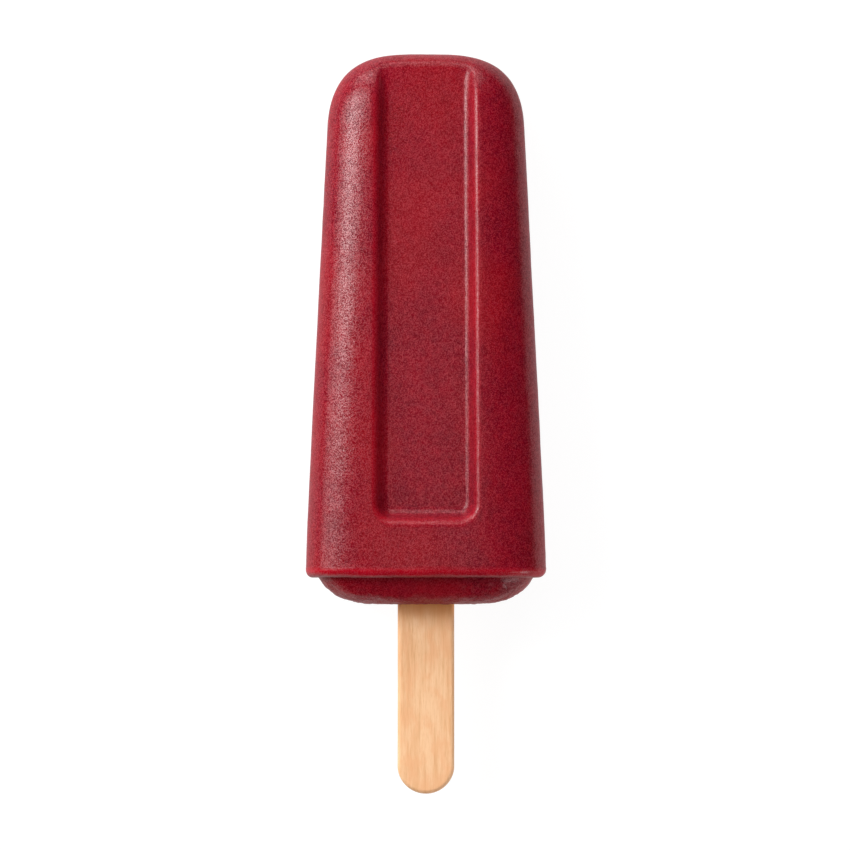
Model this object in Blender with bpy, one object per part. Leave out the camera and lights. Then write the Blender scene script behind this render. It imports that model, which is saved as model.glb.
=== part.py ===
"""Ice pop: a moulded bar of frozen fruit on a flat wooden stick, lying on its back.

The bar widens from a rounded tip to a square base. A shallow panel is sunk in its front and
in its back, and runs out over the tip. Below the base is the low domed plug where the mould
was filled, and the stick goes in through the plug.

Metres, +Z up. +Y runs from the stick's free end to the tip, and +Z leaves the front face. The
shapes are drawn with y = 0 at the base and the bar's middle plane at z = 0, and are then laid
down by one empty: the bar is thinner at its tip, so it leans a little to lie flat.
"""

import math

import bmesh
import bpy
from mathutils import Matrix, Vector

# The bar, without its plug
BAR_LENGTH = 0.0924
BASE_HALF_WIDTH = 0.02148  # of the straight sides, carried on to the base
TIP_HALF_WIDTH = 0.01676  # and to the tip
FOOT_TUCK = 0.00023  # how far the sides draw in at the base
FOOT_TUCK_HEIGHT = 0.0138
FOOT_TUCK_POWER = 1.5
BASE_HALF_DEPTH = 0.0115
TIP_HALF_DEPTH = 0.0094
SECTION_POWER = 3.5  # superellipse power of the cross-section: 2 is an ellipse
TIP_RISE_WIDE = 0.01345  # length over which the tip closes, from the front
TIP_RISE_DEEP = 0.0095  # and from the side
TIP_DROP_POWER = 2.53
TIP_FLAT_POWER = 3.25
LIP_RADIUS = 0.0014  # round edge of the base

# The sunken panels, front and back
PANEL_FOOT = 0.0089  # height of their lower rim above the base
PANEL_RIM_BASE = 0.00946  # half-width at the rim, at the base's height
PANEL_RIM_TIP = 0.00921  # and at the tip's
PANEL_WALL = 0.0028  # width of the sloping walls, from the rim to the floor
PANEL_FOOT_WALL = 0.0032  # and of the lower one
PANEL_CORNER = 0.0036  # radius of the rim's lower corners
PANEL_SINK_BASE = 0.0024
PANEL_SINK_TIP = 0.0020
PANEL_FADE = 0.0006  # how softly the floor meets the tip
PANEL_MOST_OF_WIDTH = 0.78  # share of a narrow section at the tip that the panel's points take

# The plug below the base
PLUG_LENGTH = 0.0047
PLUG_HALF_WIDTH = 0.0190
PLUG_HALF_DEPTH = 0.0088
PLUG_DROP_POWER = 0.97
PLUG_FLAT_POWER = 6.1
PLUG_END_SHARE = 0.995  # share of the plug's length at which its flat end closes it

# The stick and the slot it is frozen into
STICK_LENGTH = 0.1130
STICK_SHOWN = 0.0334
STICK_HALF_WIDTH = 0.0050
STICK_THICKNESS = 0.0020
STICK_EDGE = 0.00035  # the bevel along its edges
STICK_EDGE_SPANS = 3
STICK_END_POINTS = 32
STICK_CLEARANCE = 0.0003

# The flat on which the bar rests
REST_TRIM = 0.0002  # what is taken off the back of the panel's rim

# Points: a quarter of a section runs from the side to the middle of the front
RAIL_SPANS = 8
WALL_SPANS = 5
FLOOR_SPANS = 2
QUARTER = RAIL_SPANS + WALL_SPANS + FLOOR_SPANS
RAIL_GATHER = 1.3  # above 1, the rail's points gather at the side
TIP_RINGS = 13
MIDDLE_RINGS = 9
FOOT_RINGS = 11
LIP_RINGS = 5
PLUG_RINGS = 13

SMOOTH_ANGLE = math.radians(50.0)  # a sharper edge keeps its crease

ICE_COLOUR = (0.33, 0.017, 0.028, 1.0)
ICE_ROUGHNESS = 0.45
WOOD_COLOUR = (0.78, 0.50, 0.28, 1.0)
WOOD_ROUGHNESS = 0.6


def mix(first, second, share):
    """A value between first and second."""
    return first + (second - first) * share


def opened(run, rise):
    """How wide the rounded tip is, from 0 to 1, at a distance run from its pole."""
    left = max(0.0, 1.0 - run / rise)
    return (1.0 - left**TIP_DROP_POWER) ** (1.0 / TIP_FLAT_POWER)


def lip_inset(y):
    """How far the round edge of the base draws the sides in."""
    if y >= LIP_RADIUS:
        return 0.0
    return LIP_RADIUS - math.sqrt(LIP_RADIUS**2 - (LIP_RADIUS - y) ** 2)


def bar_half_width(y):
    """Half the bar's width at height y above the base."""
    tuck = FOOT_TUCK * max(0.0, 1.0 - y / FOOT_TUCK_HEIGHT) ** FOOT_TUCK_POWER
    sides = mix(BASE_HALF_WIDTH, TIP_HALF_WIDTH, y / BAR_LENGTH) - tuck
    return (sides - lip_inset(y)) * opened(BAR_LENGTH - y, TIP_RISE_WIDE)


def bar_half_depth(y):
    """Half the bar's depth at height y, without its panels."""
    faces = mix(BASE_HALF_DEPTH, TIP_HALF_DEPTH, y / BAR_LENGTH)
    return (faces - lip_inset(y)) * opened(BAR_LENGTH - y, TIP_RISE_DEEP)


def panel_rim(y):
    """Half the panel's width at its rim."""
    return mix(PANEL_RIM_BASE, PANEL_RIM_TIP, y / BAR_LENGTH)


def panel_floor(y):
    """Height of the panel's floor above the bar's middle plane."""
    base = BASE_HALF_DEPTH - PANEL_SINK_BASE
    tip = TIP_HALF_DEPTH - PANEL_SINK_TIP
    return mix(base, tip, y / BAR_LENGTH)


def section_height(x, half_width, half_depth):
    """Height of a section's surface above the middle plane at x."""
    share = min(1.0, abs(x) / half_width)
    return half_depth * (1.0 - share**SECTION_POWER) ** (1.0 / SECTION_POWER)


def panel_share(x, y):
    """How far down the panel's wall a point is: 0 outside the rim, 1 over the floor."""
    from_side = panel_rim(y) - abs(x)
    from_foot = (y - PANEL_FOOT) * PANEL_WALL / PANEL_FOOT_WALL
    inset = min(from_side, from_foot)
    if from_side < PANEL_CORNER and from_foot < PANEL_CORNER:
        inset = PANEL_CORNER - math.hypot(PANEL_CORNER - from_side, PANEL_CORNER - from_foot)
    share = min(1.0, max(0.0, inset / PANEL_WALL))
    return share * share * (3.0 - 2.0 * share)


def sunk(height, x, y):
    """The height of a point once the panel is pressed in."""
    spare = height - panel_floor(y)
    drop = 0.5 * (spare + math.hypot(spare, PANEL_FADE))
    return height - panel_share(x, y) * drop


def rest_line():
    """Depth of the resting flat below the middle plane at the base, and its rise per metre."""
    depths = []
    for y in (PANEL_FOOT, BAR_LENGTH - TIP_RISE_WIDE):
        rim = section_height(panel_rim(y), bar_half_width(y), bar_half_depth(y))
        depths.append((y, rim - REST_TRIM))
    (low, at_low), (high, at_high) = depths
    rise = (at_low - at_high) / (high - low)
    return at_low + rise * low, rise


def section_point(step, y, half_width, half_depth):
    """A point (x, z) of the front right quarter of a section; step 0 is at the side."""
    rim = min(panel_rim(y), PANEL_MOST_OF_WIDTH * half_width)
    if step < RAIL_SPANS:
        at_rim = math.acos((rim / half_width) ** (SECTION_POWER / 2.0))
        angle = at_rim * (step / RAIL_SPANS) ** RAIL_GATHER
        power = 2.0 / SECTION_POWER
        return half_width * math.cos(angle) ** power, half_depth * math.sin(angle) ** power
    floor = rim * (1.0 - PANEL_WALL / panel_rim(y))
    if step < RAIL_SPANS + WALL_SPANS:
        x = mix(rim, floor, (step - RAIL_SPANS) / WALL_SPANS)
    else:
        x = floor * (QUARTER - step) / FLOOR_SPANS
    return x, section_height(x, half_width, half_depth)


def ring_point(column, station):
    """A point of a whole section, with its panels and its resting flat."""
    y, half_width, half_depth = station
    quadrant, step = divmod(column, QUARTER)
    if quadrant % 2:
        step = QUARTER - step
    x, height = section_point(step, y, half_width, half_depth)
    height = sunk(height, x, y)
    side = 1.0 if quadrant in (0, 3) else -1.0
    if quadrant in (0, 1):
        return Vector((side * x, y, height))
    depth, rise = rest_line()
    return Vector((side * x, y, max(-height, rise * y - depth)))


def bar_stations():
    """Stations (y, half-width, half-depth) from the tip to the edge of the base."""
    foot_top = PANEL_FOOT + PANEL_CORNER + PANEL_FOOT_WALL
    tip_foot = BAR_LENGTH - TIP_RISE_WIDE
    heights = [BAR_LENGTH - TIP_RISE_WIDE * (k / TIP_RINGS) ** 2 for k in range(1, TIP_RINGS)]
    heights += [mix(tip_foot, foot_top, k / MIDDLE_RINGS) for k in range(MIDDLE_RINGS)]
    heights += [mix(foot_top, PANEL_FOOT, k / FOOT_RINGS) for k in range(FOOT_RINGS + 1)]
    heights += [mix(PANEL_FOOT, LIP_RADIUS, 0.5)]
    for k in range(LIP_RINGS + 1):
        angle = 0.5 * math.pi * k / LIP_RINGS
        heights.append(LIP_RADIUS * (1.0 - math.sin(angle)))
    return [(y, bar_half_width(y), bar_half_depth(y)) for y in heights]


def plug_stations():
    """Stations from the plug's root, on the underside of the base, to its flat end."""
    stations = []
    for k in range(PLUG_RINGS + 1):
        drop = PLUG_END_SHARE * math.sin(0.5 * math.pi * k / PLUG_RINGS)
        share = (1.0 - drop**PLUG_DROP_POWER) ** (1.0 / PLUG_FLAT_POWER)
        stations.append((-PLUG_LENGTH * drop, PLUG_HALF_WIDTH * share, PLUG_HALF_DEPTH * share))
    return stations


def paint(obj, name, colour, roughness):
    """Gives an object its own Principled material."""
    material = bpy.data.materials.new(name)
    material.use_nodes = True
    shader = material.node_tree.nodes["Principled BSDF"]
    shader.inputs["Base Color"].default_value = colour
    shader.inputs["Roughness"].default_value = roughness
    shader.inputs["Metallic"].default_value = 0.0
    obj.data.materials.append(material)


def finished(bm, name, parent):
    """Turns a bmesh into an object under the empty that lays everything down."""
    bmesh.ops.recalc_face_normals(bm, faces=bm.faces)
    mesh = bpy.data.meshes.new(name)
    bm.to_mesh(mesh)
    bm.free()
    mesh.shade_smooth()
    mesh.set_sharp_from_angle(angle=SMOOTH_ANGLE)
    obj = bpy.data.objects.new(name, mesh)
    bpy.context.scene.collection.objects.link(obj)
    obj.parent = parent
    return obj


def make_bar(parent):
    """The frozen bar: a sleeve of rings spun round +Y, then drawn to the sections."""
    stations = bar_stations() + plug_stations()
    columns = 4 * QUARTER
    bm = bmesh.new()
    seam = [bm.verts.new((1.0, row, 0.0)) for row in range(len(stations))]
    edges = [bm.edges.new(pair) for pair in zip(seam, seam[1:])]
    bmesh.ops.spin(
        bm,
        geom=seam + edges,
        cent=(0.0, 0.0, 0.0),
        axis=(0.0, 1.0, 0.0),
        dvec=(0.0, 0.0, 0.0),
        angle=2.0 * math.pi,
        steps=columns,
        use_merge=True,
    )
    for vert in bm.verts:
        turn = math.atan2(vert.co.z, vert.co.x) / (2.0 * math.pi)
        column = round(turn * columns) % columns
        vert.co = ring_point(column, stations[round(vert.co.y)])
    bmesh.ops.holes_fill(bm, edges=bm.edges, sides=0)
    bar = finished(bm, "ice_bar", parent)
    paint(bar, "frozen_fruit", ICE_COLOUR, ICE_ROUGHNESS)
    return bar


def stick_mesh(half_width, thickness, low, high):
    """A flat strip with round ends, from y = low to y = high, centred on the middle plane."""
    bm = bmesh.new()
    half_step = math.pi / STICK_END_POINTS
    made = bmesh.ops.create_circle(
        bm,
        cap_ends=True,
        segments=STICK_END_POINTS,
        radius=half_width / math.cos(half_step),
        matrix=Matrix.Rotation(half_step, 4, "Z"),
    )
    for vert in made["verts"]:
        end = high - half_width if vert.co.y > 0.0 else low + half_width
        vert.co += Vector((0.0, end, -thickness / 2.0))
    made = bmesh.ops.extrude_face_region(bm, geom=bm.faces[:])
    top = [item for item in made["geom"] if isinstance(item, bmesh.types.BMVert)]
    bmesh.ops.translate(bm, verts=top, vec=(0.0, 0.0, thickness))
    return bm


def make_stick(parent):
    """The wooden stick, with tumbled edges."""
    low = -(PLUG_LENGTH + STICK_SHOWN)
    bm = stick_mesh(STICK_HALF_WIDTH, STICK_THICKNESS, low, low + STICK_LENGTH)
    level = [edge for edge in bm.edges if abs(edge.verts[0].co.z - edge.verts[1].co.z) < 1e-9]
    bmesh.ops.bevel(
        bm,
        geom=level,
        offset=STICK_EDGE,
        segments=STICK_EDGE_SPANS,
        profile=0.5,
        affect="EDGES",
        material=-1,
    )
    stick = finished(bm, "stick", parent)
    paint(stick, "birch", WOOD_COLOUR, WOOD_ROUGHNESS)
    return stick


def make_slot(parent):
    """The cutter for the slot that the stick is frozen into. It isn't rendered."""
    low = -(PLUG_LENGTH + STICK_SHOWN)
    bm = stick_mesh(
        STICK_HALF_WIDTH + STICK_CLEARANCE,
        STICK_THICKNESS + 2.0 * STICK_CLEARANCE,
        low,
        low + STICK_LENGTH + STICK_CLEARANCE,
    )
    slot = finished(bm, "slot_cutter", parent)
    slot.hide_render = True
    slot.display_type = "WIRE"
    return slot


def lay_down(empty, objects):
    """Turns the empty so that the resting flat is level, and sets the whole on the origin."""
    depth, rise = rest_line()
    empty.rotation_euler = (-math.atan(rise), 0.0, 0.0)
    bpy.context.view_layer.update()
    heights = [(obj.matrix_world @ v.co).y for obj in objects for v in obj.data.vertices]
    middle = (min(heights) + max(heights)) / 2.0
    empty.location = (0.0, -middle, depth * math.cos(math.atan(rise)))


def main():
    """Builds the ice pop."""
    for obj in list(bpy.data.objects):
        bpy.data.objects.remove(obj)
    empty = bpy.data.objects.new("lying_pose", None)
    bpy.context.scene.collection.objects.link(empty)
    bar = make_bar(empty)
    stick = make_stick(empty)
    cut = bar.modifiers.new("stick_slot", "BOOLEAN")
    cut.operation = "DIFFERENCE"
    cut.solver = "EXACT"
    cut.object = make_slot(empty)
    lay_down(empty, [bar, stick])


main()
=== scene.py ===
"""Looks of an ice pop: a moulded bar of frozen red fruit on a flat birch stick, lying on its back.

The shapes are drawn in the bar's own coordinates: y = 0 at its base, +Y towards its tip, z = 0
on its middle plane. LyingPose carries them into the frame, where the bar rests on z = 0.
"""

import logging
import math
from dataclasses import dataclass
from enum import Enum

import bmesh
import bpy
import numpy as np
from mathutils import Matrix, Vector, noise


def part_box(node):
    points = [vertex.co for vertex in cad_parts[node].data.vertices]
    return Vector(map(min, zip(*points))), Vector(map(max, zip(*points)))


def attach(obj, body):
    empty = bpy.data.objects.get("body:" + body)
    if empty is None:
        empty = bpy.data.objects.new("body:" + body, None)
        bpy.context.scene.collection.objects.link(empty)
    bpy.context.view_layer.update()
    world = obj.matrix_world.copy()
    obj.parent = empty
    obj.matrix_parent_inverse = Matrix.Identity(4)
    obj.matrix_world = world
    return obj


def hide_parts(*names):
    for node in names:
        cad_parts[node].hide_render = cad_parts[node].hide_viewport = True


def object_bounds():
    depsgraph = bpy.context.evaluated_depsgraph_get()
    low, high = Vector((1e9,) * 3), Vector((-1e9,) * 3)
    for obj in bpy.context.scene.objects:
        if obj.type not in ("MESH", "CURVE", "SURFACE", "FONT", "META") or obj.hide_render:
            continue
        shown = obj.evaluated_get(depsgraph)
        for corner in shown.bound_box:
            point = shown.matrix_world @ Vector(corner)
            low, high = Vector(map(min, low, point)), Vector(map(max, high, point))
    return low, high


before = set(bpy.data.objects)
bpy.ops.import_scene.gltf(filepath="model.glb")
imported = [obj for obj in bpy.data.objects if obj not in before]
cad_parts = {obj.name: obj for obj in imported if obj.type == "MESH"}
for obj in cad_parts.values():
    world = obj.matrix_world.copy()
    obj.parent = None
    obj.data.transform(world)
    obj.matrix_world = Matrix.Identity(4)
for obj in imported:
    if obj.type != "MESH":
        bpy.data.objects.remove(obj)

CAD_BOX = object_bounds()
SAME_HEIGHT = 1e-9
ON_THE_CUT = 1e-7

log = logging.getLogger("ice_pop")

Number = float | int


class Paint(Enum):
    """A number from 0 to 1 that the bar carries at each of its points."""

    # frost on the plug, and painted rim light on the lip's steep edge
    RIME_AND_LIP_LIGHT = "rime"
    # share of painted glow, a brighter red standing in for light shining through the ice
    PAINTED_GLOW = "blush"
    STEEP = "steep"


class Across(Enum):
    """The direction that a cut through the stick is square to."""

    WIDTH = (1.0, 0.0, 0.0)
    LENGTH = (0.0, 1.0, 0.0)


def mix(first: float, second: float, share: float) -> float:
    """The value at that share of the way from first to second."""
    return first + (second - first) * share


def ramp(value: float, low: float, high: float) -> float:
    """A soft step.

    Args:
        value: where to read it.
        low: below this it is 0.
        high: above this it is 1. It may be less than low, and the step then falls.

    Returns:
        A number from 0 to 1.
    """
    share = min(1.0, max(0.0, (value - low) / (high - low)))
    return share * share * (3.0 - 2.0 * share)


# ---------------------------------------------------------------------------
# Shader maths
# ---------------------------------------------------------------------------


class Value:
    """An output socket on which arithmetic adds Math nodes."""

    def __init__(self, board: "Board", socket: bpy.types.NodeSocket) -> None:
        """Wraps socket, which belongs to board's node tree."""
        self.board = board
        self.socket = socket

    def _math(self, operation: str, *values: "Value | Number") -> "Value":
        """Adds a Math node.

        Args:
            operation: its operation.
            values: its inputs, in order.

        Returns:
            Its result.
        """
        return self.board.node(
            "ShaderNodeMath", {"operation": operation}, dict(enumerate(values)), "Value"
        )

    def __add__(self, other: "Value | Number") -> "Value":
        """self + other."""
        return self._math("ADD", self, other)

    def __radd__(self, other: Number) -> "Value":
        """other + self."""
        return self._math("ADD", other, self)

    def __sub__(self, other: "Value | Number") -> "Value":
        """self - other."""
        return self._math("SUBTRACT", self, other)

    def __rsub__(self, other: Number) -> "Value":
        """other - self."""
        return self._math("SUBTRACT", other, self)

    def __mul__(self, other: "Value | Number") -> "Value":
        """self * other."""
        return self._math("MULTIPLY", self, other)

    def __rmul__(self, other: Number) -> "Value":
        """other * self."""
        return self._math("MULTIPLY", other, self)

    def between(self, low: float, high: float) -> "Value":
        """A soft step over this value.

        Args:
            low: where the step starts.
            high: where it ends. It may be less than low, and the step then falls.

        Returns:
            A value from 0 to 1.
        """
        inputs = {"Value": self, "From Min": low, "From Max": high, "To Min": 0.0, "To Max": 1.0}
        return self.board.node(
            "ShaderNodeMapRange", {"interpolation_type": "SMOOTHSTEP"}, inputs, "Result"
        )


@dataclass(frozen=True)
class Clouds:
    """A cloudy pattern.

    Attributes:
        lump: size of its lumps along each axis, in metres.
        detail: how many finer layers lie on the coarsest one.
        rough: how strong each finer layer is against the one before it.
    """

    lump: tuple[float, float, float]
    detail: float
    rough: float


class Board:
    """A new material's node tree."""

    def __init__(self, name: str) -> None:
        """Makes the material, with no nodes yet.

        Args:
            name: the material's name.
        """
        self.material = bpy.data.materials.new(name)
        self.material.use_nodes = True
        self.tree = self.material.node_tree
        self.tree.nodes.clear()

    def node(self, kind: str, settings: dict, inputs: dict, output: str | int = 0) -> Value:
        """Adds one node.

        Args:
            kind: the node's type.
            settings: its own properties, which are set first.
            inputs: numbers, colours or Values, by socket name or number.
            output: the name or number of the output wanted.

        Returns:
            That output.
        """
        made = self.tree.nodes.new(kind)
        for name, setting in settings.items():
            setattr(made, name, setting)
        for name, value in inputs.items():
            socket = made.inputs[name]
            if isinstance(value, Value):
                self.tree.links.new(value.socket, socket)
            else:
                socket.default_value = value
        return Value(self, made.outputs[output])

    def place(self, size: tuple[float, float, float]) -> Value:
        """Object coordinates counted in units of size.

        Args:
            size: the length of one unit along each axis, in metres.

        Returns:
            The scaled coordinates.
        """
        here = self.node("ShaderNodeTexCoord", {}, {}, "Object")
        inputs = {"Vector": here, "Scale": tuple(1.0 / length for length in size)}
        return self.node("ShaderNodeMapping", {"vector_type": "POINT"}, inputs, "Vector")

    def clouds(self, pattern: Clouds) -> Value:
        """A cloudy pattern.

        Args:
            pattern: its sizes.

        Returns:
            A value from 0 to 1, mostly near the middle.
        """
        inputs = {
            "Vector": self.place(pattern.lump),
            "Scale": 1.0,
            "Detail": pattern.detail,
            "Roughness": pattern.rough,
        }
        return self.node("ShaderNodeTexNoise", {}, inputs, "Fac")

    def grains(self, size: float) -> Value:
        """Packed grains of that size with a colour each, whose channels go from 0 to 1."""
        inputs = {"Vector": self.place((size, size, size)), "Scale": 1.0}
        return self.node("ShaderNodeTexVoronoi", {"feature": "F1"}, inputs, "Color")

    def painted(self, paint: Paint) -> Value:
        """The piece's own number of that kind at each point."""
        return self.node("ShaderNodeAttribute", {"attribute_name": paint.value}, {}, "Fac")

    def tint(self, share: Value | float, under: Value | tuple, over: Value | tuple) -> Value:
        """One colour laid over another.

        Args:
            share: how much of the upper colour shows.
            under: the lower colour.
            over: the upper one.

        Returns:
            The blended colour.
        """
        settings = {"data_type": "RGBA", "blend_type": "MIX"}
        factor, lower, upper, result = 0, 6, 7, 2
        return self.node(
            "ShaderNodeMix", settings, {factor: share, lower: under, upper: over}, result
        )

    def bump(self, height: Value, reach: float, normal: Value | None = None) -> Value:
        """A normal that follows a height.

        Args:
            height: the height, from 0 to 1.
            reach: what 1 stands for, in metres.
            normal: the normal to start from.

        Returns:
            The bent normal.
        """
        inputs = {"Height": height, "Distance": reach, "Strength": 1.0}
        if normal is not None:
            inputs["Normal"] = normal
        return self.node("ShaderNodeBump", {}, inputs, "Normal")

    def facets(self, grains: Value, tilt: float, normal: Value) -> Value:
        """A normal that each grain turns its own way.

        Args:
            grains: grains with a colour each.
            tilt: how far the turned normal's end moves at most along each axis.
            normal: the normal to start from.

        Returns:
            The bent normal.
        """
        kind, scaled = "ShaderNodeVectorMath", {"operation": "MULTIPLY_ADD"}
        inputs = {0: grains, 1: (2.0 * tilt,) * 3, 2: (-tilt,) * 3}
        push = self.node(kind, scaled, inputs, "Vector")
        bent = self.node(kind, {"operation": "ADD"}, {0: push, 1: normal}, "Vector")
        return self.node(kind, {"operation": "NORMALIZE"}, {0: bent}, "Vector")

    def finish(self, inputs: dict) -> bpy.types.Material:
        """Adds the shader.

        Args:
            inputs: its numbers, colours or Values, by socket name.

        Returns:
            The finished material.
        """
        shader = self.node("ShaderNodeBsdfPrincipled", {}, inputs, "BSDF")
        output = self.tree.nodes.new("ShaderNodeOutputMaterial")
        self.tree.links.new(shader.socket, output.inputs["Surface"])
        return self.material


# ---------------------------------------------------------------------------
# Finishes
# ---------------------------------------------------------------------------


def colour(red: float, green: float, blue: float) -> tuple[float, float, float, float]:
    """An opaque colour."""
    return (red, green, blue, 1.0)


@dataclass(frozen=True)
class Stain:
    """A colour that a pattern lays over another one.

    Attributes:
        tone: the colour.
        low: where the pattern is lower than this, it doesn't show.
        high: where the pattern is higher than this, it shows most.
        share: how much of it shows there.
    """

    tone: tuple
    low: float
    high: float
    share: float = 1.0

    def over(self, under: Value | tuple, pattern: Value) -> Value:
        """The colour under it with the stain laid on where the pattern is high."""
        shows = pattern.between(self.low, self.high) * self.share
        return pattern.board.tint(shows, under, self.tone)


@dataclass(frozen=True)
class FrozenFruit:
    """Frozen fruit puree: deep red, mottled, with fine frost crystals.

    Attributes:
        deep: the darkest flesh.
        flesh: the brighter flesh over it.
        zone: the warmer red of whole zones.
        patches: pattern of the flesh.
        pulp: the finer pattern of the flesh.
        zones: pattern of the zones.
        patch_share: weight of the patches against the pulp in the flesh.
        blush: painted light, a brighter red standing in for light shining through at an edge.
        painted_glow_least: share of it between the patches.
        painted_glow_patchy: share that the patches add.
        frost_speck_and_glint: colour of a bright crystal; partly the frost's own, partly a painted
            glint.
        frost_speck_and_glint_share: how much of it shows.
        crystal_size: size of a crystal, in metres.
        crystal_low: the crystals below this are dark.
        crystal_high: the crystals above this are bright.
        crystal_tilt: how far each crystal turns the surface.
        coat: how much the bright crystals gleam.
        coat_roughness: how soft that gleam is.
        coat_off_sides: how much of it the steep sides lose.
        rime: colour of the frost on the plug, also painted on the lip's edge as a pale rim of
            light.
        rime_and_lip_light_least: share of the frost between the crystals.
        roughness: the flesh's own.
        pulp_roughness: how much of it the pulp changes.
        side_roughness: what the steep sides add.
        wrinkles: pattern of the crosswise wrinkles.
        wrinkle_height: their height, in metres.
        pulp_height: height of the pulp, in metres.
        grain: pattern of the grain.
        grain_height: its height, in metres.
        refraction: index of refraction.
        scatter: share of light that scatters inside.
        scatter_reach: how far it gets, in metres.
        scatter_radius: how far each colour gets against that.
    """

    deep: tuple = colour(0.102, 0.0002, 0.0066)
    flesh: Stain = Stain(colour(0.180, 0.0004, 0.0082), 0.28, 0.72)
    zone: Stain = Stain(colour(0.240, 0.0022, 0.0036), 0.35, 0.65, 0.38)
    patches: Clouds = Clouds((0.0052, 0.0080, 0.0052), 3.0, 0.55)
    pulp: Clouds = Clouds((0.0011, 0.0014, 0.0011), 2.0, 0.55)
    zones: Clouds = Clouds((0.0130, 0.0190, 0.0130), 1.0, 0.50)
    patch_share: float = 0.55

    blush: tuple = colour(0.420, 0.0030, 0.0140)
    painted_glow_least: float = 0.20
    painted_glow_patchy: float = 0.65

    frost_speck_and_glint: tuple = colour(0.420, 0.020, 0.034)
    frost_speck_and_glint_share: float = 0.40
    crystal_size: float = 0.00013
    crystal_low: float = 0.35
    crystal_high: float = 0.75
    crystal_tilt: float = 0.030
    coat: float = 0.68
    coat_roughness: float = 0.33
    coat_off_sides: float = 0.70
    rime: tuple = colour(0.260, 0.045, 0.043)
    rime_and_lip_light_least: float = 0.15

    roughness: float = 0.22
    pulp_roughness: float = 0.12
    side_roughness: float = 0.30
    wrinkles: Clouds = Clouds((0.00110, 0.00046, 0.00110), 1.0, 0.50)
    wrinkle_height: float = 0.00003
    pulp_height: float = 0.00002
    grain: Clouds = Clouds((0.00036, 0.00036, 0.00036), 1.0, 0.60)
    grain_height: float = 0.00004

    refraction: float = 1.20
    scatter: float = 0.30
    scatter_reach: float = 0.0018
    scatter_radius: tuple = (1.0, 0.10, 0.09)

    def material(self) -> bpy.types.Material:
        """Builds the material.

        Returns:
            The material, which reads the bar's painted numbers.
        """
        board = Board("frozen_fruit")
        patches = board.clouds(self.patches)
        pulp = board.clouds(self.pulp)
        crystals = board.grains(self.crystal_size)
        glints = crystals.between(self.crystal_low, self.crystal_high)
        blush = board.painted(Paint.PAINTED_GLOW)
        steep = board.painted(Paint.STEEP)

        mottle = self.patch_share * patches + (1.0 - self.patch_share) * pulp
        flesh = self.zone.over(self.flesh.over(self.deep, mottle), board.clouds(self.zones))
        # painted glow: a brighter red laid where light would shine through the lip and the panels'
        # rims
        lit = blush * (self.painted_glow_least + self.painted_glow_patchy * patches)
        with_painted_glow = board.tint(lit, flesh, self.blush)
        # brighter crystals: frost specks, and painted glints standing in for sparkle
        with_specks_and_glints = board.tint(glints * self.frost_speck_and_glint_share, with_painted_glow, self.frost_speck_and_glint)
        # frost on the plug, and the same pale colour painted on the lip's edge as rim light
        frost = board.painted(Paint.RIME_AND_LIP_LIGHT) * (self.rime_and_lip_light_least + (1.0 - self.rime_and_lip_light_least) * glints)
        with_rime_and_lip_light = board.tint(frost, with_specks_and_glints, self.rime)

        soft = board.bump(board.clouds(self.wrinkles), self.wrinkle_height)
        fine = board.bump(pulp, self.pulp_height, soft)
        rough = board.bump(board.clouds(self.grain), self.grain_height, fine)
        uneven = self.pulp_roughness * (pulp - 0.5)
        return board.finish(
            {
                "Base Color": with_rime_and_lip_light,
                "Roughness": self.roughness + uneven + self.side_roughness * steep,
                "Normal": board.facets(crystals, self.crystal_tilt, rough),
                "IOR": self.refraction,
                "Coat Weight": glints * self.coat * (1.0 - self.coat_off_sides * steep),
                "Coat Roughness": self.coat_roughness,
                "Subsurface Weight": self.scatter,
                "Subsurface Radius": self.scatter_radius,
                "Subsurface Scale": self.scatter_reach,
            }
        )


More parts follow.
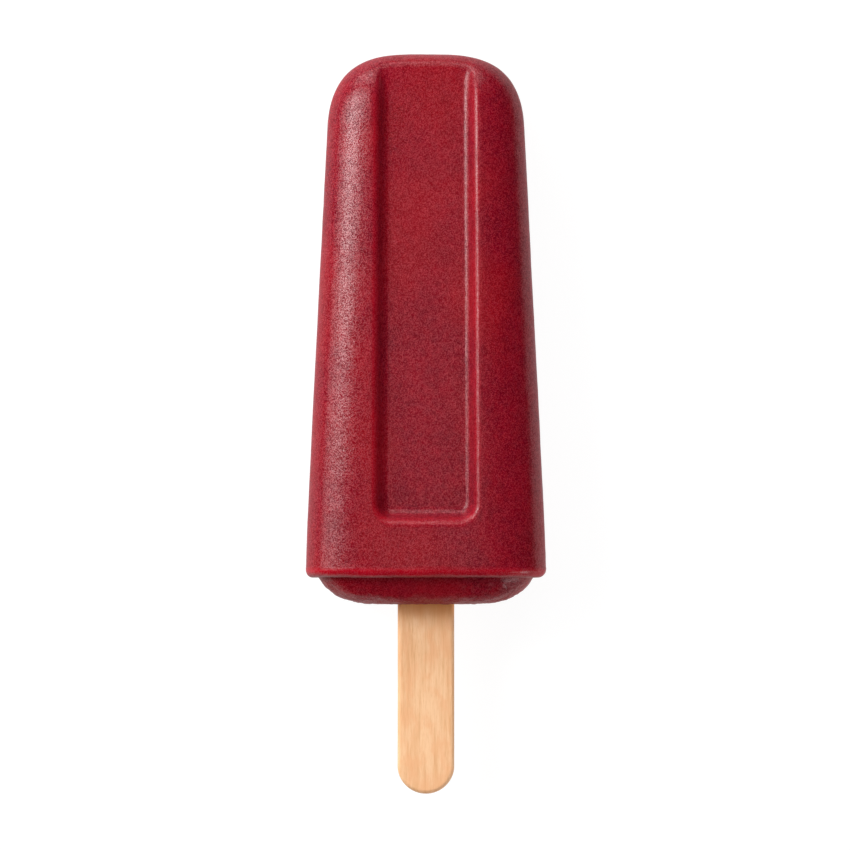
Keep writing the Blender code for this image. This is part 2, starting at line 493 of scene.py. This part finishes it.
@dataclass(frozen=True)
class Birch:
    """Planed pale birch, damp and darker where it leaves the ice, with painted shade there.

    Attributes:
        ice_end: y at which the stick leaves the ice, in the frame.
        pale: the lightest wood.
        band: the darker wood over it.
        streak: the fibres' dark streaks.
        pore: the short dark strokes of the pores.
        blot: soft pinkish blots.
        bands: pattern of the bands.
        fibres: pattern of the fibres.
        pores: pattern of the pores.
        blots: pattern of the blots.
        band_share: weight of the bands against the fibres.
        damp_and_shade: colour of the damp wood, also painted shade where the bar shades the stick.
        damp_and_shade_share: how much of it shows at the ice.
        damp_and_shade_reach: how far the damp and the painted shade reach, in metres.
        damp_and_shade_hidden: how far inside the ice they are full, in metres.
        roughness: the wood's own.
        fibre_roughness: how much of it the fibres change.
        fibre_weight: weight of the fibres against the pores in its relief.
        relief: height of that relief, in metres.
        refraction: index of refraction.
    """

    ice_end: float
    pale: tuple = colour(0.850, 0.530, 0.300)
    band: Stain = Stain(colour(0.740, 0.390, 0.185), 0.36, 0.64)
    streak: Stain = Stain(colour(0.620, 0.280, 0.115), 0.56, 0.74, 0.32)
    pore: Stain = Stain(colour(0.620, 0.280, 0.115), 0.52, 0.72, 0.30)
    blot: Stain = Stain(colour(0.780, 0.375, 0.180), 0.44, 0.66, 0.50)
    bands: Clouds = Clouds((0.0024, 0.0200, 0.0024), 3.0, 0.55)
    fibres: Clouds = Clouds((0.00042, 0.0070, 0.00042), 3.0, 0.60)
    pores: Clouds = Clouds((0.00020, 0.0018, 0.00020), 2.0, 0.60)
    blots: Clouds = Clouds((0.0021, 0.0042, 0.0021), 3.0, 0.60)
    band_share: float = 0.55

    damp_and_shade: tuple = colour(0.900, 0.320, 0.050)
    damp_and_shade_share: float = 0.60
    damp_and_shade_reach: float = 0.0036
    damp_and_shade_hidden: float = 0.0005

    roughness: float = 0.58
    fibre_roughness: float = 0.10
    fibre_weight: float = 0.6
    relief: float = 0.00008
    refraction: float = 1.45

    def material(self) -> bpy.types.Material:
        """Builds the material.

        Returns:
            The material, whose grain runs along +Y.
        """
        board = Board("birch")
        fibres = board.clouds(self.fibres)
        pores = board.clouds(self.pores)
        metres = board.place((1.0, 1.0, 1.0))
        along = board.node("ShaderNodeSeparateXYZ", {}, {"Vector": metres}, "Y")

        mottle = self.band_share * board.clouds(self.bands) + (1.0 - self.band_share) * fibres
        wood = self.streak.over(self.band.over(self.pale, mottle), fibres)
        blotted = self.blot.over(self.pore.over(wood, pores), board.clouds(self.blots))
        # damp wood and painted shade, strongest at the ice
        damp_and_shade_mask = along.between(self.ice_end - self.damp_and_shade_reach, self.ice_end + self.damp_and_shade_hidden)
        relief = self.fibre_weight * fibres + (1.0 - self.fibre_weight) * pores
        return board.finish(
            {
                "Base Color": board.tint(damp_and_shade_mask * self.damp_and_shade_share, blotted, self.damp_and_shade),
                "Roughness": self.roughness + self.fibre_roughness * (fibres - 0.5),
                "Normal": board.bump(relief, self.relief),
                "IOR": self.refraction,
            }
        )


@dataclass(frozen=True)
class PalePaper:
    """The plain pale floor, lit from below like a light table.

    Attributes:
        tone: its own colour.
        roughness: its own.
        gleam: strength of its mirror reflection.
        light: colour of the light from below.
        glow: strength of that light.
    """

    tone: tuple = colour(0.12, 0.12, 0.12)
    roughness: float = 0.9
    gleam: float = 0.0
    light: tuple = colour(1.0, 1.0, 1.0)
    glow: float = 0.935

    def material(self) -> bpy.types.Material:
        """Builds the material.

        Returns:
            The material.
        """
        board = Board("pale_paper")
        return board.finish(
            {
                "Base Color": self.tone,
                "Roughness": self.roughness,
                "Specular IOR Level": self.gleam,
                "Emission Color": self.light,
                "Emission Strength": self.glow,
            }
        )


# ---------------------------------------------------------------------------
# Shapes
# ---------------------------------------------------------------------------


@dataclass(frozen=True)
class Relief:
    """One layer of unevenness.

    Attributes:
        lump: size of its lumps, in metres.
        height: how far they stand out, in metres.
        shift: moves the pattern, so that no two layers are alike.
    """

    lump: float
    height: float
    shift: float

    def at(self, point: Vector) -> float:
        """How far the layer stands out at a point."""
        place = point / self.lump
        return self.height * noise.noise(place + Vector((self.shift, self.shift, self.shift)))


def unevenness(layers: tuple[Relief, ...], point: Vector) -> float:
    """Height of all the layers together at a point."""
    return sum(layer.at(point) for layer in layers)


@dataclass(frozen=True)
class LyingPose:
    """How the bar's own coordinates lie in the frame.

    Attributes:
        lean: angle by which the thinner tip comes down.
        stick_middle: y of the stick's middle, in the bar's own coordinates.
    """

    lean: float
    stick_middle: float

    def matrix(self) -> Matrix:
        """The move from the bar's own coordinates to the frame.

        Returns:
            The move, which takes the drawn stick's middle to the frame's one.
        """
        low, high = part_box("stick")
        turn = Matrix.Rotation(-self.lean, 4, "X")
        drawn = turn @ Vector((0.0, self.stick_middle, 0.0))
        found = Vector((0.0, 0.5 * (low[1] + high[1]), 0.5 * (low[2] + high[2])))
        return Matrix.Translation(found - drawn) @ turn


@dataclass
class IceBar:
    """The frozen bar, with its panels, its lip and its plug.

    Lengths are in metres. A power shapes a curve, a share is a part of 1, and a count says how
    many points or rings there are.
    """

    length: float = 0.0924
    base_half_width: float = 0.02148
    tip_half_width: float = 0.01676
    foot_tuck: float = 0.00023
    foot_tuck_height: float = 0.0138
    foot_tuck_power: float = 1.5
    base_half_depth: float = 0.0115
    tip_half_depth: float = 0.0094
    section_power: float = 3.5
    tip_rise_wide: float = 0.01345
    tip_rise_deep: float = 0.0095
    tip_drop_power: float = 2.53
    tip_flat_power: float = 3.25
    lip_radius: float = 0.0014

    panel_foot: float = 0.0086
    panel_rim_base: float = 0.01010
    panel_rim_tip: float = 0.00982
    panel_wall: float = 0.0037
    panel_wall_power: float = 2.6
    panel_foot_wall: float = 0.0040
    panel_corner: float = 0.0042
    panel_sink_base: float = 0.0026
    panel_sink_tip: float = 0.0022
    panel_fade: float = 0.0009
    panel_most_of_width: float = 0.80

    plug_length: float = 0.0047
    plug_half_width: float = 0.0190
    plug_half_depth: float = 0.0088
    plug_drop_power: float = 0.97
    plug_flat_power: float = 6.1
    plug_end_share: float = 0.995

    rest_foot: float = 0.0089
    rest_rim_base: float = 0.00946
    rest_rim_tip: float = 0.00921
    rest_trim: float = 0.0002

    rail_spans: int = 36
    wall_spans: int = 20
    floor_spans: int = 16
    rail_gather: float = 1.15
    rings: int = 338
    outline_points: int = 240
    lip_gather: float = 1.7
    lip_middle: float = 0.0008
    lip_gather_full: float = 0.0014
    lip_gather_end: float = 0.0028
    pole_share: float = 0.03

    waves: tuple[Relief, ...] = (
        Relief(0.0160, 0.00007, 3.1),
        Relief(0.0048, 0.00004, 11.7),
        Relief(0.0016, 0.000022, 5.3),
    )
    frost: tuple[Relief, ...] = (
        Relief(0.0017, 0.00014, 8.9),
        Relief(0.0007, 0.00010, 2.2),
    )
    frost_start: float = -0.0002
    frost_full: float = -0.0016
    flash: tuple[Relief, ...] = (
        Relief(0.0060, 0.00012, 21.3),
        Relief(0.0014, 0.00006, 14.6),
    )
    flash_y: float = 0.0002
    flash_full: float = 0.0001
    flash_end: float = 0.0007
    bead_y: float = 0.0016
    bead_width: float = 0.0003
    bead_height: float = 0.00007
    bead_share: float = 0.6
    bead_breaks: tuple[Relief, ...] = (
        Relief(0.0075, 1.0, 9.6),
        Relief(0.0011, 0.6, 4.4),
    )
    shrink: float = 0.00003

    # where the frost and the painted lip light lie: below the lip's middle, on steep surfaces
    rime_and_lip_light_from: float = 0.0007
    rime_and_lip_light_full: float = 0.0
    steep_from: float = 0.85
    steep_full: float = 0.25
    # where the painted glow lies: along the round lip and the panels' rims, standing in for light
    # shining through
    lip_painted_glow_full: float = 0.0004
    lip_painted_glow_fades: float = 0.00114
    lip_painted_glow_top: float = 0.0019
    rim_painted_glow: float = 0.45
    rim_painted_glow_full: float = 0.05
    rim_painted_glow_fades: float = 0.16
    rim_painted_glow_end: float = 0.50

    @property
    def quarter(self) -> int:
        """Spans in a quarter of a section."""
        return self.rail_spans + self.wall_spans + self.floor_spans

    @property
    def columns(self) -> int:
        """Points round a whole section."""
        return 4 * self.quarter

    def opened(self, run: float, rise: float) -> float:
        """How wide the rounded tip is.

        Args:
            run: distance from its pole.
            rise: distance over which it opens.

        Returns:
            A number from 0 at the pole to 1 where the tip ends.
        """
        left = max(0.0, 1.0 - run / rise)
        return (1.0 - left**self.tip_drop_power) ** (1.0 / self.tip_flat_power)

    def lip_inset(self, y: float) -> float:
        """How far the round edge of the base draws the sides in.

        Args:
            y: height above the base.

        Returns:
            The distance, which is 0 above the round edge.
        """
        if y >= self.lip_radius:
            return 0.0
        return self.lip_radius - math.sqrt(self.lip_radius**2 - (self.lip_radius - y) ** 2)

    def half_width(self, y: float) -> float:
        """Half the bar's width.

        Args:
            y: height above the base.

        Returns:
            Half the width there.
        """
        over = max(0.0, 1.0 - y / self.foot_tuck_height)
        sides = mix(self.base_half_width, self.tip_half_width, y / self.length)
        sides -= self.foot_tuck * over**self.foot_tuck_power
        return (sides - self.lip_inset(y)) * self.opened(self.length - y, self.tip_rise_wide)

    def half_depth(self, y: float) -> float:
        """Half the bar's depth at height y, without its panels."""
        faces = mix(self.base_half_depth, self.tip_half_depth, y / self.length)
        return (faces - self.lip_inset(y)) * self.opened(self.length - y, self.tip_rise_deep)

    def panel_rim(self, y: float) -> float:
        """Half the panel's width at its rim."""
        return mix(self.panel_rim_base, self.panel_rim_tip, y / self.length)

    def panel_floor(self, y: float) -> float:
        """Where the panel's floor is.

        Args:
            y: height above the base.

        Returns:
            The floor's height above the middle plane there.
        """
        base = self.base_half_depth - self.panel_sink_base
        tip = self.tip_half_depth - self.panel_sink_tip
        return mix(base, tip, y / self.length)

    def section_height(self, x: float, half_width: float, half_depth: float) -> float:
        """Height of a section's surface, without its panel.

        Args:
            x: distance from its middle.
            half_width: half the section's width.
            half_depth: half its depth.

        Returns:
            The height above the middle plane.
        """
        share = min(1.0, abs(x) / half_width)
        return half_depth * (1.0 - share**self.section_power) ** (1.0 / self.section_power)

    def panel_share(self, x: float, y: float) -> float:
        """How far down the panel's wall a point is.

        Args:
            x: distance from the bar's middle.
            y: height above the base.

        Returns:
            0 outside the panel's rim, 1 over its floor, and a soft S between them.
        """
        from_side = self.panel_rim(y) - abs(x)
        from_foot = (y - self.panel_foot) * self.panel_wall / self.panel_foot_wall
        inset = min(from_side, from_foot)
        if from_side < self.panel_corner and from_foot < self.panel_corner:
            across = self.panel_corner - from_side
            inset = self.panel_corner - math.hypot(across, self.panel_corner - from_foot)
        run = 2.0 * min(1.0, max(0.0, inset / self.panel_wall))
        if run < 1.0:
            return 0.5 * run**self.panel_wall_power
        return 1.0 - 0.5 * (2.0 - run) ** self.panel_wall_power

    def sunk(self, height: float, x: float, y: float) -> float:
        """Presses the panel in.

        Args:
            height: a point's height above the middle plane without the panel.
            x: the point's distance from the bar's middle.
            y: its height above the base.

        Returns:
            Its height with the panel.
        """
        spare = height - self.panel_floor(y)
        drop = 0.5 * (spare + math.hypot(spare, self.panel_fade))
        return height - self.panel_share(x, y) * drop

    def rest_line(self) -> tuple[float, float]:
        """The flat that the bar lies on.

        Returns:
            Its depth below the middle plane at the base, and how much it rises per metre of y.
        """
        depths = []
        for y in (self.rest_foot, self.length - self.tip_rise_wide):
            rim = mix(self.rest_rim_base, self.rest_rim_tip, y / self.length)
            depth = self.section_height(rim, self.half_width(y), self.half_depth(y))
            depths.append((y, depth - self.rest_trim))
        (low, at_low), (high, at_high) = depths
        rise = (at_low - at_high) / (high - low)
        return at_low + rise * low, rise

    def section_point(
        self, step: int, y: float, half_width: float, half_depth: float
    ) -> tuple[float, float]:
        """A point of the front right quarter of a section, without its panel.

        Args:
            step: number of the point, from 0 at the side to quarter at the middle.
            y: the section's height above the base.
            half_width: half its width.
            half_depth: half its depth.

        Returns:
            The point's x and z.
        """
        rim = min(self.panel_rim(y), self.panel_most_of_width * half_width)
        if step < self.rail_spans:
            at_rim = math.acos((rim / half_width) ** (self.section_power / 2.0))
            angle = at_rim * (step / self.rail_spans) ** self.rail_gather
            power = 2.0 / self.section_power
            return half_width * math.cos(angle) ** power, half_depth * math.sin(angle) ** power
        floor = rim * (1.0 - self.panel_wall / self.panel_rim(y))
        if step < self.rail_spans + self.wall_spans:
            x = mix(rim, floor, (step - self.rail_spans) / self.wall_spans)
        else:
            x = floor * (self.quarter - step) / self.floor_spans
        return x, self.section_height(x, half_width, half_depth)

    def ring_point(self, column: int, station: np.ndarray) -> Vector:
        """A point of a whole section, with its panels and its resting flat.

        Args:
            column: number of the point, counted from the right side over the front.
            station: the section's y, half-width and half-depth.

        Returns:
            The point in the bar's own coordinates.
        """
        y, half_width, half_depth = station
        quadrant, step = divmod(column, self.quarter)
        if quadrant % 2:
            step = self.quarter - step
        x, height = self.section_point(step, y, half_width, half_depth)
        height = self.sunk(height, x, y)
        side = 1.0 if quadrant in (0, 3) else -1.0
        if quadrant in (0, 1):
            return Vector((side * x, y, height))
        depth, rise = self.rest_line()
        return Vector((side * x, y, max(-height, rise * y - depth)))

    def pace(self, y: float) -> float:
        """How closely the rings lie at height y: closest round the lip."""
        off = abs(y - self.lip_middle)
        return 1.0 + self.lip_gather * ramp(off, self.lip_gather_end, self.lip_gather_full)

    def outline(self) -> np.ndarray:
        """The bar's outline, far more closely than its rings lie.

        Returns:
            Rows (y, half-width, half-depth) from the tip's pole to the plug's.
        """
        fine = self.outline_points
        tip_foot = self.length - self.tip_rise_wide
        sides = []
        for k in range(1, fine):
            left = math.cos(0.5 * math.pi * k / fine) ** (2.0 / self.tip_drop_power)
            sides.append(self.length - self.tip_rise_wide * (1.0 - left))
        sides += [mix(tip_foot, self.lip_radius, k / fine) for k in range(fine)]
        quarter_turn = [0.5 * math.pi * k / fine for k in range(fine + 1)]
        sides += [self.lip_radius * (1.0 - math.sin(angle)) for angle in quarter_turn[:-1]]
        rows = [(y, self.half_width(y), self.half_depth(y)) for y in sides]

        wide, deep = self.half_width(0.0), self.half_depth(0.0)
        for k in range(fine):
            share = k / fine
            across = mix(wide, self.plug_half_width, share)
            rows.append((0.0, across, mix(deep, self.plug_half_depth, share)))
        for angle in quarter_turn:
            drop = self.plug_end_share * math.sin(angle)
            share = (1.0 - drop**self.plug_drop_power) ** (1.0 / self.plug_flat_power)
            across, depth = self.plug_half_width * share, self.plug_half_depth * share
            rows.append((-self.plug_length * drop, across, depth))
        end, wide, deep = rows[-1]
        for k in range(1, fine):
            share = mix(1.0, self.pole_share, k / fine)
            rows.append((end, wide * share, deep * share))
        return np.array(rows)

    def stations(self) -> np.ndarray:
        """Where the rings lie.

        Returns:
            Rows (y, half-width, half-depth) from the tip's pole to the plug's.
        """
        outline = self.outline()
        steps = np.hypot(np.diff(outline[:, 0]), np.diff(outline[:, 1]))
        steps *= [self.pace(y) for y in outline[1:, 0]]
        run = np.concatenate(([0.0], np.cumsum(steps)))
        wanted = np.linspace(0.0, run[-1], self.rings)
        return np.stack([np.interp(wanted, run, outline[:, k]) for k in range(3)], axis=1)

    def sleeve(self) -> bmesh.types.BMesh:
        """The smooth bar: a seam spun round +Y, drawn to the sections, with closed poles.

        Returns:
            Its mesh, in the bar's own coordinates.
        """
        stations = self.stations()
        bm = bmesh.new()
        first = bm.verts.new((1.0, 0.0, 0.0))
        last = bm.verts.new((1.0, self.rings - 1.0, 0.0))
        seam = bm.edges.new((first, last))
        bmesh.ops.subdivide_edges(bm, edges=[seam], cuts=self.rings - 2)
        bmesh.ops.spin(
            bm,
            geom=bm.verts[:] + bm.edges[:],
            cent=(0.0, 0.0, 0.0),
            axis=(0.0, 1.0, 0.0),
            dvec=(0.0, 0.0, 0.0),
            angle=2.0 * math.pi,
            steps=self.columns,
            use_merge=True,
        )
        for vert in bm.verts:
            turn = math.atan2(vert.co.z, vert.co.x) / (2.0 * math.pi)
            column = round(turn * self.columns) % self.columns
            vert.co = self.ring_point(column, stations[round(vert.co.y)])
        capped = bmesh.ops.holes_fill(bm, edges=bm.edges, sides=0)
        bmesh.ops.poke(bm, faces=capped["faces"])
        bmesh.ops.recalc_face_normals(bm, faces=bm.faces)
        bm.normal_update()
        return bm

    def steepness(self, normal: Vector) -> float:
        """How much a surface turns away from the two broad faces, from 0 to 1."""
        return ramp(abs(normal.z), self.steep_from, self.steep_full)

    def rime_and_lip_light_at(self, point: Vector, normal: Vector) -> float:
        """How much frost a point gets, from 0 to 1: the plug is frosted where steep, and the lip's
        steep edge gets the same pale colour as painted rim light.
        """
        return self.steepness(normal) * ramp(point.y, self.rime_and_lip_light_from, self.rime_and_lip_light_full)

    def painted_glow_at(self, point: Vector) -> float:
        """How much painted glow a point gets, from 0 to 1; it stands in for light shining through.

        Args:
            point: where to read it.

        Returns:
            1 along the round lip, less along the panels' rims, and 0 elsewhere.
        """
        lip = ramp(point.y, 0.0, self.lip_painted_glow_full)
        lip *= ramp(point.y, self.lip_painted_glow_top, self.lip_painted_glow_fades)
        sunk = self.panel_share(point.x, point.y)
        on_bar = ramp(self.length - point.y, 0.5 * self.tip_rise_deep, self.tip_rise_deep)
        rim = ramp(sunk, 0.0, self.rim_painted_glow_full)
        rim *= ramp(sunk, self.rim_painted_glow_end, self.rim_painted_glow_fades)
        return max(lip, self.rim_painted_glow * rim * on_bar)

    def roughened(self, point: Vector) -> float:
        """How far a point moves outwards from the smooth shape.

        Args:
            point: the point, in the bar's own coordinates.

        Returns:
            The distance, which is less than 0 where the point moves inwards.
        """
        rough = unevenness(self.waves, point) - self.shrink
        frosty = ramp(point.y, self.frost_start, self.frost_full)
        if frosty > 0.0:
            rough += frosty * unevenness(self.frost, point)
        at_lip = ramp(abs(point.y - self.flash_y), self.flash_end, self.flash_full)
        if at_lip > 0.0:
            rough += at_lip * unevenness(self.flash, point)
        bead = ramp(abs(point.y - self.bead_y), self.bead_width, 0.0)
        if bead > 0.0:
            broken = max(0.0, self.bead_share + unevenness(self.bead_breaks, point))
            rough += bead * self.bead_height * broken
        return rough

    def build(self, pose: LyingPose) -> bpy.types.Object:
        """Makes the bar's object.

        Args:
            pose: where the bar lies.

        Returns:
            The new object, with its frost and painted lip light, its painted glow and its
            steepness stored on its points.
        """
        bm = self.sleeve()
        rime, blush, steep = (bm.verts.layers.float.new(paint.value) for paint in Paint)
        moved = [vert.co + vert.normal * self.roughened(vert.co) for vert in bm.verts]
        matrix = pose.matrix()
        low, high = (Vector(corner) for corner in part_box("ice_bar"))
        for vert, place in zip(bm.verts, moved):
            vert[rime] = self.rime_and_lip_light_at(vert.co, vert.normal)
            vert[blush] = self.painted_glow_at(vert.co)
            vert[steep] = self.steepness(vert.normal)
            place = matrix @ place
            vert.co = [min(max(place[k], low[k]), high[k]) for k in range(3)]
        return new_object("fruit_ice", bm)


@dataclass
class Stick:
    """The flat stick, with round ends and tumbled edges. Lengths are in metres.

    Attributes:
        plug_end: y of the plug's end, where the stick comes out.
        shown: how much of the stick shows.
        length: its whole length.
        half_width: half its width, and the radius of its ends.
        thickness: its thickness.
        edge: radius of its rounded edges.
        edge_spans: spans across such an edge.
        support: width of the flat strip that keeps the broad faces flat beside the edges.
        end_points: points round a whole circle of the ends.
        lengths: parts that the cuts along it make.
        widths: parts that the cuts across it make.
        cut_share: share of its width that those cuts cover.
        warp: its slight unevenness.
        warp_apart: how far from a point its up-and-down unevenness is read.
    """

    plug_end: float
    shown: float = 0.0334
    length: float = 0.1130
    half_width: float = 0.0050
    thickness: float = 0.0020
    edge: float = 0.00070
    edge_spans: int = 6
    support: float = 0.00020
    end_points: int = 96
    lengths: int = 110
    widths: int = 8
    cut_share: float = 0.85
    warp: tuple[Relief, ...] = (
        Relief(0.0190, 0.00006, 6.4),
        Relief(0.0042, 0.000022, 17.2),
    )
    warp_apart: float = 0.1

    @property
    def low(self) -> float:
        """y of the end that shows."""
        return self.plug_end - self.shown

    @property
    def high(self) -> float:
        """y of the end inside the bar."""
        return self.low + self.length

    def strip(self) -> bmesh.types.BMesh:
        """The strip: a circle pulled long, given its thickness, and rounded along its edges.

        Returns:
            Its mesh, in the bar's own coordinates.
        """
        bm = bmesh.new()
        half_step = math.pi / self.end_points
        made = bmesh.ops.create_circle(
            bm,
            cap_ends=True,
            segments=self.end_points,
            radius=self.half_width,
            matrix=Matrix.Rotation(half_step, 4, "Z"),
        )
        for vert in made["verts"]:
            end = self.high - self.half_width if vert.co.y > 0.0 else self.low + self.half_width
            vert.co += Vector((0.0, end, -self.thickness / 2.0))
        made = bmesh.ops.extrude_face_region(bm, geom=bm.faces[:])
        top = [item for item in made["geom"] if isinstance(item, bmesh.types.BMVert)]
        bmesh.ops.translate(bm, verts=top, vec=(0.0, 0.0, self.thickness))
        level = []
        for edge in bm.edges:
            first, last = edge.verts
            if abs(first.co.z - last.co.z) < SAME_HEIGHT:
                level.append(edge)
        bmesh.ops.bevel(
            bm,
            geom=level,
            offset=self.edge,
            segments=self.edge_spans,
            profile=0.5,
            affect="EDGES",
            material=-1,
        )
        broad = [face for face in bm.faces if len(face.verts) > 4]
        bmesh.ops.inset_region(bm, faces=broad, thickness=self.support)
        return bm

    def build(self, pose: LyingPose) -> bpy.types.Object:
        """Makes the stick's object.

        Args:
            pose: where the bar lies.

        Returns:
            The new object.
        """
        bm = self.strip()
        for k in range(1, self.lengths):
            y = mix(self.low, self.high, k / self.lengths)
            self.cut(bm, Vector((0.0, y, 0.0)), Across.LENGTH)
        reach = self.cut_share * self.half_width
        for k in range(1, self.widths):
            x = mix(-reach, reach, k / self.widths)
            self.cut(bm, Vector((x, 0.0, 0.0)), Across.WIDTH)
        bmesh.ops.recalc_face_normals(bm, faces=bm.faces)
        matrix = pose.matrix()
        low, high = (Vector(corner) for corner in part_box("stick"))
        apart = Vector((0.0, 0.0, self.warp_apart))
        for vert in bm.verts:
            vert.co.x += unevenness(self.warp, vert.co)
            vert.co.z -= abs(unevenness(self.warp, vert.co + apart))
            place = matrix @ vert.co
            vert.co = [min(max(place[k], low[k]), high[k]) for k in range(3)]
        return new_object("bare_stick", bm)

    @staticmethod
    def cut(bm: bmesh.types.BMesh, point: Vector, across: Across) -> None:
        """Adds a line of points to the strip.

        Args:
            bm: the strip's mesh.
            point: a point of the line.
            across: the direction that the line is square to.
        """
        geometry = bm.verts[:] + bm.edges[:] + bm.faces[:]
        bmesh.ops.bisect_plane(
            bm, geom=geometry, dist=ON_THE_CUT, plane_co=point, plane_no=across.value
        )


def new_object(name: str, bm: bmesh.types.BMesh) -> bpy.types.Object:
    """Turns a bmesh into a smooth-shaded object at the origin.

    Args:
        name: the object's name.
        bm: its mesh, which is freed.

    Returns:
        The object, linked to the scene.
    """
    mesh = bpy.data.meshes.new(name)
    bm.to_mesh(mesh)
    bm.free()
    mesh.shade_smooth()
    obj = bpy.data.objects.new(name, mesh)
    bpy.context.scene.collection.objects.link(obj)
    return obj


# ---------------------------------------------------------------------------
# Studio
# ---------------------------------------------------------------------------


@dataclass(frozen=True)
class SoftLight:
    """A square soft light that points at the part's middle.

    Attributes:
        name: the light's name.
        bearing: direction to it in the floor's plane, in degrees from +X towards +Y.
        slant: how far from straight overhead it is, in degrees.
        distance: how far away it is, in metres.
        size: its side, in metres.
        power: its power, in watts.
    """

    name: str
    bearing: float
    slant: float
    distance: float
    size: float
    power: float

    def hang(self, target: Vector) -> None:
        """Adds the light.

        Args:
            target: where it points.
        """
        bearing, slant = math.radians(self.bearing), math.radians(self.slant)
        flat = Vector((math.cos(bearing), math.sin(bearing), 0.0)) * math.sin(slant)
        towards = flat + Vector((0.0, 0.0, math.cos(slant)))
        lamp = bpy.data.lights.new(self.name, "AREA")
        lamp.shape = "SQUARE"
        lamp.size = self.size
        lamp.energy = self.power
        obj = bpy.data.objects.new(self.name, lamp)
        obj.location = target + towards * self.distance
        obj.rotation_euler = towards.to_track_quat("Z", "Y").to_euler()
        bpy.context.scene.collection.objects.link(obj)


@dataclass
class Studio:
    """The pale floor, the lights and the camera straight above. Lengths are in metres.

    Attributes:
        floor_side: side of the floor.
        floor_gap: how far the floor lies below the part, so that the two don't meet.
        margin: what the view takes in along the part, for a part of length 1.
        aim: how far the camera stands off the part's middle, in x and y.
        camera_height: its height over the part's middle.
        sensor: width of its sensor, in millimetres.
        white: colour of the even light from all round.
        surroundings: strength of that light.
        lights: the soft lights.
    """

    floor_side: float = 3.0
    floor_gap: float = 0.00001
    margin: float = 1.1498
    aim: tuple[float, float] = (-0.00016, -0.00020)
    camera_height: float = 1.25
    sensor: float = 36.0
    white: tuple = colour(1.0, 1.0, 1.0)
    surroundings: float = 0.03
    lights: tuple[SoftLight, ...] = (
        SoftLight("key", 150.0, 45.0, 0.30, 0.12, 0.63),
        SoftLight("left", 170.0, 56.0, 0.60, 0.40, 2.0),
        SoftLight("far_left", 120.0, 70.0, 0.60, 0.30, 1.5),
        SoftLight("far", 90.0, 60.0, 0.60, 0.50, 1.9),
        SoftLight("right", 320.0, 70.0, 0.60, 0.30, 1.5),
        SoftLight("overhead", 0.0, 0.0, 0.60, 0.30, 0.29),
    )

    def lay_floor(self) -> bpy.types.Object:
        """Adds the floor.

        Returns:
            The floor's object, which is no part of the piece.
        """
        bm = bmesh.new()
        bmesh.ops.create_grid(bm, x_segments=1, y_segments=1, size=self.floor_side / 2.0)
        bmesh.ops.translate(bm, verts=bm.verts, vec=(0.0, 0.0, -self.floor_gap))
        floor = new_object("pale_floor", bm)
        floor.data.materials.append(PalePaper().material())
        return floor

    def light(self, target: Vector) -> None:
        """Adds the soft lights and the even surroundings.

        Args:
            target: where the lights point.
        """
        for lamp in self.lights:
            lamp.hang(target)
        world = bpy.data.worlds.new("even_white")
        world.use_nodes = True
        background = world.node_tree.nodes["Background"]
        background.inputs["Color"].default_value = self.white
        background.inputs["Strength"].default_value = self.surroundings
        bpy.context.scene.world = world
        bpy.context.scene.view_settings.view_transform = "Standard"

    def watch(self, target: Vector, length: float) -> bpy.types.Object:
        """Adds the camera, looking straight down.

        Args:
            target: the middle of the part.
            length: the part's length.

        Returns:
            The camera.
        """
        data = bpy.data.cameras.new("above")
        data.sensor_width = self.sensor
        data.lens = self.sensor * self.camera_height / (self.margin * length)
        camera = bpy.data.objects.new("above", data)
        above = target.z + self.camera_height
        camera.location = (target.x + self.aim[0], target.y + self.aim[1], above)
        bpy.context.scene.collection.objects.link(camera)
        bpy.context.scene.camera = camera
        return camera


def main() -> None:
    """Builds the bar, the stick and the studio in order."""
    logging.basicConfig(level=logging.INFO, format="%(name)s: %(message)s")
    low, high = (Vector(corner) for corner in CAD_BOX)
    middle = 0.5 * (low + high)

    bar = IceBar()
    _, rise = bar.rest_line()
    stick = Stick(plug_end=-bar.plug_length)
    pose = LyingPose(math.atan(rise), 0.5 * (stick.low + stick.high))
    ice = bar.build(pose)
    ice.data.materials.append(FrozenFruit().material())
    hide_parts("ice_bar")
    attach(ice, "root")
    log.info("%s: %d faces", ice.name, len(ice.data.polygons))

    wood = stick.build(pose)
    wood.data.materials.append(Birch(ice_end=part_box("ice_bar")[0][1]).material())
    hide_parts("stick")
    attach(wood, "root")
    log.info("%s: %d faces", wood.name, len(wood.data.polygons))

    studio = Studio()
    studio.lay_floor()
    studio.light(middle)
    studio.watch(middle, high.y - low.y)


if __name__ == "__main__":
    main()
